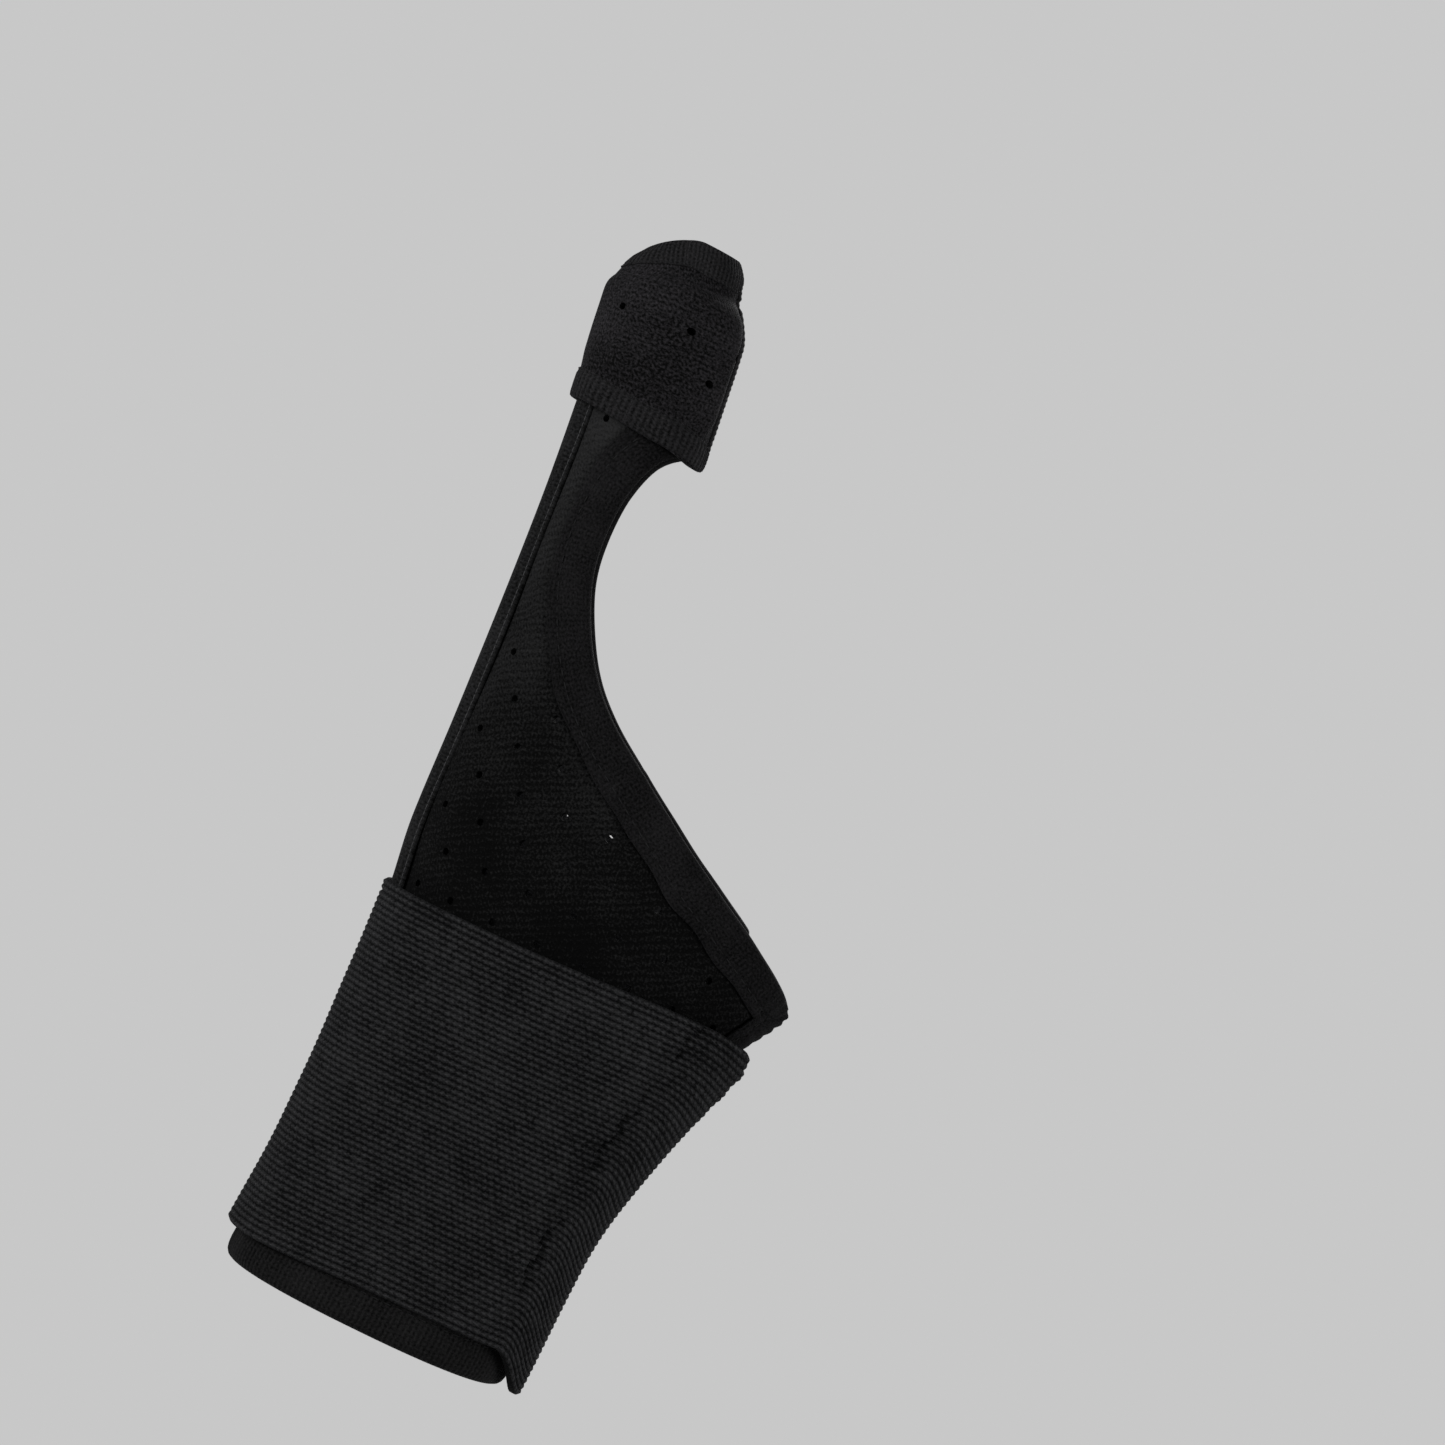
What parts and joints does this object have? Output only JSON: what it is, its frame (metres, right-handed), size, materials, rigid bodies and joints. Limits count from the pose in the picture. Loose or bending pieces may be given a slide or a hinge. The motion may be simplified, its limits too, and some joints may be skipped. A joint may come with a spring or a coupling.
{
  "type": "wrist and little-finger support brace",
  "caption": "Soft black brace that holds the wrist and the little finger, with a stayed side panel, a wrap-round elastic wrist strap and a padded finger wrap.",
  "frame": {"origin": "centre of the forearm opening, in the plane of its hem", "axes": "+Z from the forearm to the fingertip, +X to the thumb side, -Y to the back of the hand"},
  "size_m": [0.0898, 0.047, 0.2024],
  "materials": {
    "panel_fabric": "matte",
    "lining": "matte",
    "binding_tape": "matte",
    "cover_tape": "matte",
    "elastic": "matte",
    "wrap_fabric": "matte",
    "hook_tape": "matte",
    "loop_tape": "matte",
    "aluminium_stay": "satin",
    "tip_plastic": "matte"
  },
  "bodies": {
    "splint": {"dorsal_edge_binding": "binding_tape", "dorsal_lining": "lining", "dorsal_panel": "panel_fabric", "finger_low_binding_base": "binding_tape", "finger_sleeve_lining": "lining", "finger_top_binding_base": "binding_tape", "finger_wrap_base": "wrap_fabric", "finger_wrap_loop": "loop_tape", "palmar_edge_binding": "binding_tape", "palmar_lining": "lining", "palmar_panel": "panel_fabric", "sleeve_rim_binding": "binding_tape", "stay_cover": "cover_tape", "stay_tip_lower": "tip_plastic", "stay_tip_upper": "tip_plastic", "strap_anchor_tape": "cover_tape", "ulnar_stay": "aluminium_stay", "wrist_hem_binding": "binding_tape", "wrist_strap_base": "elastic", "wrist_strap_loop": "loop_tape"},
    "strap_root": {"wrist_strap_root": "elastic"},
    "strap_tip": {"wrist_strap_tip": "elastic", "wrist_strap_hook": "hook_tape", "wrist_strap_end_hem": "elastic"},
    "wrap_root": {"finger_wrap_root": "wrap_fabric", "finger_low_binding_root": "binding_tape", "finger_top_binding_root": "binding_tape"},
    "wrap_tip": {"finger_wrap_tip": "wrap_fabric", "finger_low_binding_tip": "binding_tape", "finger_top_binding_tip": "binding_tape", "finger_wrap_hook": "hook_tape"}
  },
  "joints": [
    {"name": "strap_open", "type": "hinge", "parent": "splint", "child": "strap_root", "pos_m": [-0.01731, -0.01969, 0.041], "axis": [-0.0219, 0.0017, -0.9998], "range_deg": [0, 75]},
    {"name": "strap_peel", "type": "hinge", "parent": "strap_root", "child": "strap_tip", "pos_m": [0.016, -0.02251, 0.041], "axis": [-0.126, -0.0042, -0.992], "range_deg": [0, 60]},
    {"name": "wrap_open", "type": "hinge", "parent": "splint", "child": "wrap_root", "pos_m": [-0.03796, -0.01112, 0.1813], "axis": [0.1412, -0.1194, -0.9828], "range_deg": [0, 60]},
    {"name": "wrap_peel", "type": "hinge", "parent": "wrap_root", "child": "wrap_tip", "pos_m": [-0.02258, -0.01412, 0.1813], "axis": [0.1392, -0.1204, -0.9829], "range_deg": [0, 54]}
  ],
  "couplings": [
    {"joint": "strap_peel", "follows": "strap_open", "ratio": 0.8},
    {"joint": "wrap_peel", "follows": "wrap_open", "ratio": 0.9}
  ]
}
